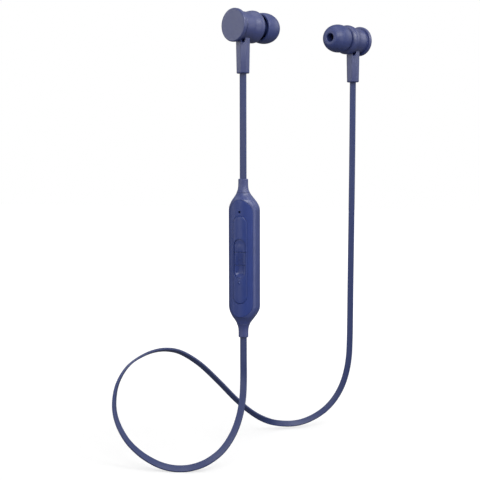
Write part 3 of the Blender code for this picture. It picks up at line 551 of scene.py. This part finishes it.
def makeTip(side):
    # mushroom: quarter ellipse dome over a skirt drawn in at its thick round rim, then underside and sleeve
    t = tip
    quarter = np.linspace(0, np.pi / 2, 28)
    dome = np.stack([t["lip"] + (t["radius"] - t["lip"]) * np.sin(quarter),
                     t["widest"] + (t["mouth"] - t["widest"]) * np.cos(quarter)], axis=-1)
    fall = np.linspace(0, 1, 10)[1:]
    skirt = np.stack([t["radius"] - t["skirtDraw"] * fall ** 2,
                      t["widest"] + (t["skirt"] - t["widest"]) * fall], axis=-1)
    inner = t["radius"] - t["skin"]
    deep = t["mouth"] - t["widest"] - t["crown"]
    inside = skirt[::-1].copy()
    inside[:, 0] -= t["skin"] + (t["rimSkin"] - t["skin"]) * fall[::-1] ** 3
    under = np.stack([t["sleeve"] + (inner - t["sleeve"]) * np.sin(quarter[::-1]),
                      t["widest"] + deep * np.cos(quarter[::-1])], axis=-1)
    bend = np.linspace(0, np.pi, 10)[1:-1]
    inward = (np.cos(bend) - 1) * t["rimSkin"] / 2
    edge = skirt[-1] + np.stack([inward, -np.sin(bend) * t["rimRound"]], axis=-1)
    corners = [under[-1], (t["sleeve"], t["sleeveFoot"]), (t["sleeveBore"], t["sleeveFoot"]),
               (t["sleeveBore"], t["seat"]), (t["hole"], t["seat"]), (t["hole"], t["mouth"]), dome[0]]
    radii = [0, t["footRound"], t["boreRound"], t["seatRound"], t["seatRound"], t["mouthRound"], 0]
    sleeve = filletPath(corners, radii, closed=False)
    profile = np.vstack([dome, skirt, edge, inside, under[1:], sleeve[1:-1]])
    grid = budPlace(side, turnProfile(profile))
    makePiece(side + "SiliconeTip", grid, siliconeFinish, side + "_tip",
              [side + "_ear_tip"], True, 60)


stem = dict(width=5.1, depth=4.7, chamfer=1.45, edge=0.18, end=-18.0, endRound=0.35, draft=0.35, flare=0.05,
            flareLength=3.0, sunk=0.12, rows=12, points=144, pocket=1.6, pocketStart=0.8, pocketEnd=0.95,
            core=0.08, coreSunk=0.12)


def makeStem(side):
    # chamfered section carried up the stem, whose top ends on the barrel's round underside; a pocket over
    # each chamfer, where twice the product of the shares of width and depth nears the sum of their squares
    s = stem
    w, d, c = s["width"] / 2, s["depth"] / 2, s["chamfer"]
    half = [(w, d - c), (w - c, d), (c - w, d), (-w, d - c)]
    section = evenPoints(filletPath(half + [(-x, -y) for x, y in half], [s["edge"]] * 8, 4), s["points"])
    turn = np.linspace(0, np.pi / 2, 5)
    inset = s["endRound"] * (1 - np.sin(turn))
    rounding = s["end"] + s["endRound"] * (1 - np.cos(turn))
    footRows = [(section * (1 - i / w), height) for i, height in zip(inset, rounding)]
    root = -barrel["waist"] - s["flareLength"]
    drafted = section * (1 + s["draft"] / s["width"])
    rise = np.linspace(0, 1, s["rows"])[:, None]
    wide = drafted[None] * (1 + s["flare"] / w * rise[..., None] ** 2)
    seat = barrelRadius(wide[-1, :, 1]) - s["sunk"]
    top = -np.sqrt(seat ** 2 - wide[-1, :, 0] ** 2)
    x, y = np.abs(section / section.max(axis=0)).T
    top = top - s["pocket"] * easeBetween(2 * x * y / (x ** 2 + y ** 2), s["pocketStart"], s["pocketEnd"])
    height = root + (top[None] - root) * rise
    lower = np.stack([np.column_stack([p[:, 0], np.full(len(p), h), p[:, 1]]) for p, h in footRows])
    upper = np.stack([wide[..., 0], height, wide[..., 1]], axis=-1)
    coreTop = s["coreSunk"] - barrel["waist"]  # the pocket's floor rises into the barrel's wall
    core = upper[-1:] * [s["core"], 0, s["core"]] + [0, coreTop, 0]
    grid = budPlace(side, np.concatenate([lower, upper, core]))
    makePiece(side + "Stem", grid, budFinish, "earphones", [side + "_stem"], sharpAngle=50)


for side in ("left", "right"):
    makeCap(side)
    makeBarrel(side)
    makeTip(side)
    makeStem(side)
print("earbuds made")


# Control module. Sizes in mm from its middle; the face looks along minus Y and heights run along Z.
module = dict(width=11.6, front=3.6, back=3.8, parting=1.9, sideBevel=1.3, corner=1.2, bodyHalf=18.4,
              shoulder=6.8, fullness=0.6, neckWidth=5.3, neckDepth=4.6, neckCorner=0.45, neckSweep=1.6,
              neckEdge=0.15, ledge=-1.3, wall=1.4, floor=2.8, hollowHalf=19.2, hollowFront=-4.0,
              cutFrom=-8.0)  # cuts start well outside the module
cover = dict(width=9.9, half=22.6, arch=5.2, innerEdge=0.06, outerEdge=0.14, gap=0.05, back=-1.5)
coverBase = cover["half"] - cover["arch"]
faceSag = module["front"] - module["parting"]
faceRadius = ((cover["width"] / 2) ** 2 + faceSag ** 2) / (2 * faceSag)
moduleMiddle = np.array(mounts["module_back"]["pos_m"]) * [1, 0, 1] / mm


def modulePlace(points):
    return (points + moduleMiddle) * mm


def faceHeight(x):
    # the convex face is part of a cylinder that runs through both of its edges
    return np.sqrt(faceRadius ** 2 - x ** 2) - faceRadius + module["front"]


def archOutline(half, low, high, rise, steps=36):
    # straight sides from low to high with a half ellipse over each end, as (x, z) points
    turn = np.linspace(0, np.pi, steps + 1)
    side = np.linspace(low, high, steps + 1)[1:-1]
    top = np.stack([half * np.cos(turn), high + rise * np.sin(turn)], axis=-1)
    foot = np.stack([-half * np.cos(turn), low - rise * np.sin(turn)], axis=-1)
    left = np.stack([np.full(len(side), -half), side[::-1]], axis=-1)
    right = np.stack([np.full(len(side), half), side], axis=-1)
    return np.vstack([top, left, foot, right])


def coverOutline(inset):
    return archOutline(cover["width"] / 2 - inset, -coverBase, coverBase, cover["arch"] - inset)


def shellRing(z, frontPoints=73, cornerPoints=13):
    # elliptic front through the face's edge, flat sides, flat back with elliptic corners; all run to the neck
    m = module
    past = max(0.0, abs(z) - m["bodyHalf"]) / m["shoulder"]
    share = max(0.0, (1 + math.cos(math.pi * past)) / 2) ** m["fullness"]
    half = np.interp(share, [0, 1], [m["neckWidth"] / 2, m["width"] / 2])
    back = np.interp(share, [0, 1], [m["neckDepth"] / 2, m["back"]])
    side = np.interp(share, [0, 1], [0, m["parting"] - m["sideBevel"]])
    roundX = np.interp(share, [0, 1], [m["neckCorner"] * m["neckWidth"], m["corner"]])
    roundY = np.interp(share, [0, 1], [m["neckCorner"] * m["neckDepth"], m["corner"]])
    if abs(z) < cover["half"]:
        over = max(0.0, abs(z) - coverBase) / cover["arch"]
        edge = cover["width"] / 2 * math.sqrt(1 - over ** 2)
        crown = (faceHeight(edge) - side) / math.sqrt(1 - (edge / half) ** 2)
    else:
        end = m["bodyHalf"] + m["shoulder"]
        left = max(0.0, end - abs(z)) / (end - cover["half"])
        crown = np.interp(left ** m["neckSweep"], [0, 1], [m["neckDepth"] / 2, m["front"]]) - side
    turn = np.linspace(np.pi, 2 * np.pi, frontPoints)
    front = np.stack([half * np.cos(turn), crown * np.sin(turn) - side], axis=-1)
    turn = np.linspace(0, np.pi / 2, cornerPoints)
    right = np.stack([half - roundX + roundX * np.cos(turn), back - roundY + roundY * np.sin(turn)], axis=-1)
    ring = np.vstack([front, right, (right * [-1, 1])[::-1]])
    return np.column_stack([ring, np.full(len(ring), z)])


def prism(name, outline, low, high, sideways=False):
    # tool for a cut: an outline of (x, z) points carried along Y, or of (z, y) points carried along X
    rings = []
    for level in (low, high):
        flat = np.full(len(outline), level)
        columns = [flat, outline[:, 1], outline[:, 0]] if sideways else [outline[:, 0], flat, outline[:, 1]]
        rings.append(np.stack(columns, axis=-1))
    points, faces = skinRings(modulePlace(np.stack(rings)))
    mesh = bpy.data.meshes.new(name)
    mesh.from_pydata(points.tolist(), [], faces)
    tool = bpy.data.objects.new(name, mesh)
    bpy.context.scene.collection.objects.link(tool)
    return tool


def cutOut(piece, tools, sharpAngle=38):
    for tool in tools:
        cut = piece.modifiers.new(tool.name, "BOOLEAN")
        cut.object = tool
    bpy.context.view_layer.update()
    mesh = bpy.data.meshes.new_from_object(piece.evaluated_get(bpy.context.evaluated_depsgraph_get()))
    piece.modifiers.clear()
    piece.data = mesh
    mesh.shade_smooth()
    mesh.set_sharp_from_angle(angle=math.radians(sharpAngle))
    for tool in tools:
        bpy.data.objects.remove(tool, do_unlink=True)


def roundRect(width, height, corner, steps=8):
    w, h = width / 2, height / 2
    return filletPath([(w, h), (-w, h), (-w, -h), (w, -h)], [corner] * 4, steps)


port = dict(middle=(-12.6, 1.55), window=(8.1, 2.8, 0.6), bed=(10.0, 3.1, 1.2), bedDepth=0.65)
shellRows = dict(arch=22, neck=14, neckStep=0.1, body=15, bodyStep=0.3)


def makeRearShell():
    # a skin over the rings of all heights, closer together at the arches, then the openings cut out
    m = module
    end = m["bodyHalf"] + m["shoulder"]
    rows = shellRows
    arch = coverBase + cover["arch"] * np.sin((np.arange(rows["arch"]) + 0.5) / rows["arch"] * np.pi / 2)
    neck = np.linspace(cover["half"] + rows["neckStep"], end - m["neckEdge"], rows["neck"])
    upper = np.concatenate([arch, neck])
    bodyEnd = coverBase - rows["bodyStep"]
    heights = np.concatenate([-upper[::-1], np.linspace(-bodyEnd, bodyEnd, rows["body"]), upper])
    rings = np.stack([shellRing(z) for z in heights])
    turn = np.linspace(0, np.pi / 2, 5)[1:]
    drawn, raised = m["neckEdge"] * (1 - np.cos(turn)) / 2, m["neckEdge"] * np.sin(turn)
    lips = np.stack([rings[-1] * [1 - d, 1 - d, 1] + [0, 0, r] for d, r in zip(drawn, raised)])
    rings = np.concatenate([lips[::-1] * [1, 1, -1], rings, lips])
    shell = makePiece("moduleRearShell", modulePlace(rings), shellFinish, "earphones",
                      ["rear_shell"])
    hollow = roundRect(m["width"] - 2 * m["wall"], 2 * m["hollowHalf"], m["corner"])
    window = roundRect(*port["window"]) + port["middle"]
    bed = roundRect(*port["bed"]) + port["middle"]
    far, bedFloor = m["cutFrom"], port["bedDepth"] - m["width"] / 2
    cutOut(shell, [prism("openingTool", coverOutline(0), far, m["ledge"]),
                   prism("hollowTool", hollow, m["hollowFront"], m["floor"]),
                   prism("windowTool", window, far, 0, True), prism("bedTool", bed, far, bedFloor, True)])


def bandGrid(inner, outer, innerEdge, outerEdge, back, proud=0.0, faceRows=9):
    # frame between two outlines: inner wall, round edge, convex face, round edge, outer wall
    turn = np.linspace(0, np.pi / 2, 7)
    inset, drop = 1 - np.cos(turn), 1 - np.sin(turn)
    flat = [inner(0)] + [inner(i) for i in innerEdge * inset]
    for share in np.linspace(0, 1, faceRows + 2)[1:-1]:
        flat.append(inner(innerEdge) * (1 - share) + outer(outerEdge) * share)
    flat += [outer(i) for i in outerEdge * inset[::-1]] + [outer(0)]
    flat = np.stack(flat)
    fall = np.concatenate([[0], innerEdge * drop, np.zeros(faceRows), outerEdge * drop[::-1], [0]])
    depth = fall[:, None] - proud - faceHeight(flat[..., 0])
    depth[0] = depth[-1] = back
    return modulePlace(np.stack([flat[..., 0], depth, flat[..., 1]], axis=-1))


panel = dict(width=6.0, length=33.8, drop=0.5, innerEdge=0.05, outerEdge=0.4, gap=0.03, proud=0.16, back=-2.6)
keys = dict(width=4.9, length=15.0, functionLength=5.0, gap=0.05, slack=0.02, corner=0.3, proud=-0.14,
            edge=0.06, back=-2.0, dish=1.0, dishTop=0.1, dishStart=0.15, dishEnd=1.8, points=160)
mark = dict(size=(1.6, 0.4, 0.2), proud=0.12, edge=0.1, foot=2.6, points=64)  # raised on the function key
hole = dict(microphone=(17.9, 0.5), lamp=(-9.2, 0.6))  # height of the middle, radius


def panelOutline(grow):
    half = panel["width"] / 2
    reach = panel["length"] / 2 - half
    return archOutline(half + grow, -panel["drop"] - reach, reach - panel["drop"], half + grow)


def keyOutline(grow):
    half = keys["width"] / 2
    reach = keys["length"] / 2 - half
    return archOutline(half + grow, -reach, reach, half + grow)


def roundHole(name, height, radius, turns=40):
    turn = np.arange(turns) * 2 * np.pi / turns
    ring = np.stack([radius * np.cos(turn), height + radius * np.sin(turn)], axis=-1)
    return prism(name, ring, module["cutFrom"], 0)


def makeFront():
    # two frames: the cover round the panel, and the panel round the keys, each with its hole
    c, p = cover, panel
    grid = bandGrid(lambda d: panelOutline(p["gap"] + d), lambda d: coverOutline(c["gap"] + d),
                    c["innerEdge"], c["outerEdge"], c["back"])
    lid = makePiece("moduleFrontCover", grid, faceFinish, "earphones", ["front_cover"],
                    joinRows=True)
    cutOut(lid, [roundHole("microphoneTool", *hole["microphone"])])
    grid = bandGrid(lambda d: keyOutline(keys["gap"] + d), lambda d: panelOutline(-d),
                    p["innerEdge"], p["outerEdge"], p["back"], p["proud"])
    strip = makePiece("moduleKeyPanel", grid, panelFinish, "earphones", ["control_panel"],
                      joinRows=True)
    cutOut(strip, [roundHole("lampTool", *hole["lamp"])])


def plateGrid(outline, heightOf, edge, back, faceRows=14, drawnIn=0.97):
    # pad over an outline: wall, quarter round edge, then a face that draws in to its own middle line
    middle = (outline.max(axis=0) + outline.min(axis=0)) / 2
    half = (outline.max(axis=0) - outline.min(axis=0)) / 2
    turn = np.linspace(0, np.pi / 2, 7)
    across = np.linspace(edge, drawnIn * half.min(), faceRows + 1)[1:]
    inset = np.concatenate([[0], edge * (1 - np.cos(turn)), across])
    drop = np.concatenate([[0], edge * (1 - np.sin(turn)), np.zeros(faceRows)])
    flat = middle + (outline - middle) * (1 - inset[:, None, None] / half)
    height = heightOf(flat) - drop[:, None]
    height[0] = back
    return flat, height


def crownHeight(flat):
    # a finger dish by the distance from the group's edge, which deepens towards the lower end
    half = keys["width"] / 2
    reach = keys["length"] / 2 - half
    past = np.maximum(np.abs(flat[..., 1]) - reach, 0)
    inward = np.clip(half - np.hypot(flat[..., 0], past), 0, None)
    deepening = keys["dishTop"] + (1 - keys["dishTop"]) * easeBetween(-flat[..., 1], -reach, reach)
    dish = keys["dish"] * deepening * easeBetween(inward, keys["dishStart"], keys["dishEnd"])
    return faceHeight(flat[..., 0]) + keys["proud"] - dish


def makeKeys():
    # three pads of one long group: lower end, upper end and the corner rounds of both
    k = keys
    half, corner = k["width"] / 2 - k["slack"], k["corner"]
    end, split = k["length"] / 2, k["functionLength"] / 2
    shapes = dict(volume_up=(split + k["gap"], end, corner, half),
                  function=(k["gap"] - split, split - k["gap"], corner, corner),
                  volume_down=(-end, -split - k["gap"], half, corner))
    for body, (low, high, lowRound, highRound) in shapes.items():
        corners = [(half, low), (half, high), (-half, high), (-half, low)]
        outline = evenPoints(filletPath(corners, [lowRound, highRound, highRound, lowRound], 16), k["points"])
        flat, height = plateGrid(outline, crownHeight, k["edge"], -k["back"])
        grid = modulePlace(np.stack([flat[..., 0], -height, flat[..., 1]], axis=-1))
        words = body.split("_")
        name = words[0] + "".join(word.capitalize() for word in words[1:]) + "Button"
        makePiece(name, grid, keyFinish, body, [body + "_key"], sharpAngle=50)
    outline = evenPoints(roundRect(*mark["size"]), mark["points"])
    flat, height = plateGrid(outline, lambda f: crownHeight(f) + mark["proud"], mark["edge"], mark["foot"])
    grid = modulePlace(np.stack([flat[..., 0], -height, flat[..., 1]], axis=-1))
    makePiece("functionMark", grid, keyFinish, "function", sharpAngle=50)


lamp = dict(radius=0.5, dome=0.12, sunk=0.16, foot=-1.9, eye=0.002, turns=48)


def makeLamp():
    # quarter ellipse turned about the lamp's own axis, on a straight foot
    turn = np.linspace(0, np.pi / 2, 10)
    top = faceHeight(0.0) + panel["proud"] - lamp["sunk"]
    dome = np.stack([lamp["radius"] * np.sin(turn) + lamp["eye"], top + lamp["dome"] * np.cos(turn)], axis=-1)
    profile = np.vstack([dome, [[lamp["radius"], -lamp["foot"]]]])
    local = turnProfile(profile, lamp["turns"])
    grid = np.stack([local[..., 0], -local[..., 2], local[..., 1] + hole["lamp"][0]], axis=-1)
    makePiece("lampLens", modulePlace(grid), lampFinish, "earphones", ["status_lamp"],
              sharpAngle=60)


boot = dict(start=25.25, end=30.6, endWidth=3.9, endDepth=3.2, baseEdge=0.1, endEdge=0.3, sweep=4,
            turns=96)


def makeBoot(side, up):
    # ellipses that go on from the neck and slim down by a power of what is left, with round edges
    b = boot
    turn = np.linspace(0, np.pi / 2, 6)
    share = np.linspace(0, 1, 26)
    slim = 1 - (1 - share) ** b["sweep"]
    wide = module["neckWidth"] / 2 + (b["endWidth"] - module["neckWidth"]) / 2 * slim
    deep = module["neckDepth"] / 2 + (b["endDepth"] - module["neckDepth"]) / 2 * slim
    low, high = b["start"] + b["baseEdge"], b["end"] - b["endEdge"]
    body = np.stack([wide, deep, low + (high - low) * share], axis=-1)
    foot = np.stack([np.sin(turn) - 1, np.sin(turn) - 1, -np.cos(turn)], axis=-1)[:-1]
    top = np.stack([np.cos(turn) - 1, np.cos(turn) - 1, np.sin(turn)], axis=-1)[1:]
    sizes = np.vstack([foot * b["baseEdge"] + body[0], body, top * b["endEdge"] + body[-1]])
    angle = np.arange(b["turns"]) * 2 * np.pi / b["turns"]
    x, y, z = sizes[:, :1] * np.cos(angle), sizes[:, 1:2] * np.sin(angle), up * sizes[:, 2:] + 0 * angle
    grid = np.stack([x, y, z], axis=-1)
    makePiece(side + "StrainRelief", modulePlace(grid), bootFinish, "earphones",
              [side + "_boot"])


flap = dict(length=9.8, width=2.9, corner=1.1, thickness=0.6, plug=(6.9, 1.6, 0.6), plugDepth=0.5,
            plugTaper=0.9, plugEdge=0.15, edge=0.28, crown=0.06, grip=(0.5, 1.9, 0.2), gripAt=3.7,
            gripProud=0.16, gripEdge=0.14, gripFoot=-0.2, points=160, gripPoints=64)


def makeFlap():
    # rubber lid with a soft edge, the plug behind it and a raised grip at its free end
    f = flap
    side = -module["width"] / 2
    middle = np.array(port["middle"])
    outline = evenPoints(roundRect(f["length"], f["width"], f["corner"]), f["points"])
    plug = evenPoints(roundRect(*f["plug"]), f["points"])
    back = -f["thickness"]
    plugEnd = back - f["plugDepth"]
    flat, height = plateGrid(outline, lambda p: f["crown"] * (1 - (p[..., 1] / f["width"] * 2) ** 2),
                             f["edge"], back)
    rows = [(plug * f["plugTaper"], plugEnd), (plug, plugEnd + f["plugEdge"]), (plug, back)]
    flat = np.concatenate([np.stack([p for p, h in rows]), flat]) + middle
    height = np.concatenate([np.stack([np.full(len(p), h) for p, h in rows]), height])
    grid = np.stack([side - height, flat[..., 1], flat[..., 0]], axis=-1)
    makePiece("portFlap", modulePlace(grid), bootFinish, "port_cover",
              ["charging_port_cover"], sharpAngle=50)
    outline = evenPoints(roundRect(*f["grip"]), f["gripPoints"])
    flat, height = plateGrid(outline, lambda p: f["gripProud"] + 0 * p[..., 0], f["gripEdge"], f["gripFoot"])
    flat = flat + middle + [f["gripAt"], 0]
    grid = np.stack([side - height, flat[..., 1], flat[..., 0]], axis=-1)
    makePiece("portFlapGrip", modulePlace(grid), bootFinish, "port_cover", sharpAngle=50)


makeRearShell()
makeFront()
makeKeys()
makeLamp()
makeBoot("top", 1)
makeBoot("bottom", -1)
makeFlap()
print("control module made")


# Stage: pale floor under the loop, white surround and soft lights
stage = dict(floorSize=6.0, floorColour=0.5, bounceColour=0.22, glowNear=0.42, glowFar=1.0, glowStart=0.08,
             glowEnd=0.5, surround=1.0, fill=0.39)


def makeFloor():
    # the camera sees a paler floor that glows more with its distance, so that it meets the white surround
    lowest = min(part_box("left_cord")[0].z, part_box("right_cord")[0].z)
    half = stage["floorSize"] / 2
    mesh = bpy.data.meshes.new("paleFloor")
    corners = [(-half, -half, lowest), (half, -half, lowest), (half, half, lowest), (-half, half, lowest)]
    mesh.from_pydata(corners, [], [(0, 1, 2, 3)])
    material, tree, shader = startMaterial("paleFloorFinish")
    shader.inputs["Roughness"].default_value = 0.9
    shader.inputs["Emission Color"].default_value = (1, 1, 1, 1)
    place = objectPlace(tree)
    away = addNode(tree, "ShaderNodeVectorMath", {0: place}, operation="LENGTH").outputs["Value"]
    glow = between(tree, away, stage["glowNear"], stage["glowFar"], stage["glowStart"], stage["glowEnd"])
    ray = addNode(tree, "ShaderNodeLightPath").outputs["Is Camera Ray"]
    feed(shader, "Base Color", between(tree, ray, stage["bounceColour"], stage["floorColour"], 0, 1))
    feed(shader, "Emission Strength", worked(tree, "MULTIPLY", glow, ray))
    mesh.materials.append(material)
    floor = bpy.data.objects.new("paleFloor", mesh)
    bpy.context.scene.collection.objects.link(floor)


def makeSurround():
    # the camera sees plain white; the object sees a dim surround, so that its edges stand out against it
    world = bpy.data.worlds.new("studio")
    world.use_nodes = True
    tree = world.node_tree
    back = tree.nodes["Background"]
    back.inputs["Color"].default_value = (1, 1, 1, 1)
    ray = addNode(tree, "ShaderNodeLightPath").outputs["Is Camera Ray"]
    feed(back, "Strength", between(tree, ray, stage["fill"], stage["surround"], 0, 1))
    bpy.context.scene.world = world
    bpy.context.scene.view_settings.view_transform = "Standard"


def makeLight(name, place, target, size, power):
    data = bpy.data.lights.new(name, "AREA")
    data.shape = "DISK"
    data.size = size
    data.energy = power
    light = bpy.data.objects.new(name, data)
    light.location = place
    aim = np.array(target) - np.array(place)
    flat = math.hypot(aim[0], aim[1])
    light.rotation_euler = (math.atan2(flat, -aim[2]), 0, math.atan2(-aim[0], aim[1]))
    light.visible_camera = False
    bpy.context.scene.collection.objects.link(light)


makeFloor()
makeSurround()
objectMiddle = tuple((cadLow + cadHigh) / 2)
earbudMiddle = (0.01, 0.04, 0.0)  # about midway between the two earbuds
softboxes = dict(  # place, target, size in metres, power in watts
    front=((0.22, -0.38, 0.22), earbudMiddle, 0.3, 1.16),
    right=((0.38, -0.1, 0.25), earbudMiddle, 0.3, 0.92),
    backRight=((0.3, 0.35, 0.2), earbudMiddle, 0.3, 0.32),
    nearTop=((0.02, 0.03, 0.15), earbudMiddle, 0.16, 0.06),
    nearLeft=((-0.14, -0.02, 0.12), earbudMiddle, 0.16, 0.05),
    lowRight=((0.5, -0.15, -0.1), objectMiddle, 0.3, 0.43),
    wideLeft=((-0.8, -0.38, -0.03), objectMiddle, 0.5, 1.09),
    wideFront=((-0.35, -0.85, -0.03), objectMiddle, 0.4, 0.95),
    wideBack=((0.75, 0.45, -0.03), objectMiddle, 0.5, 0.54),
)
for boxName, setting in softboxes.items():
    makeLight(boxName + "Softbox", *setting)
print("stage lit")
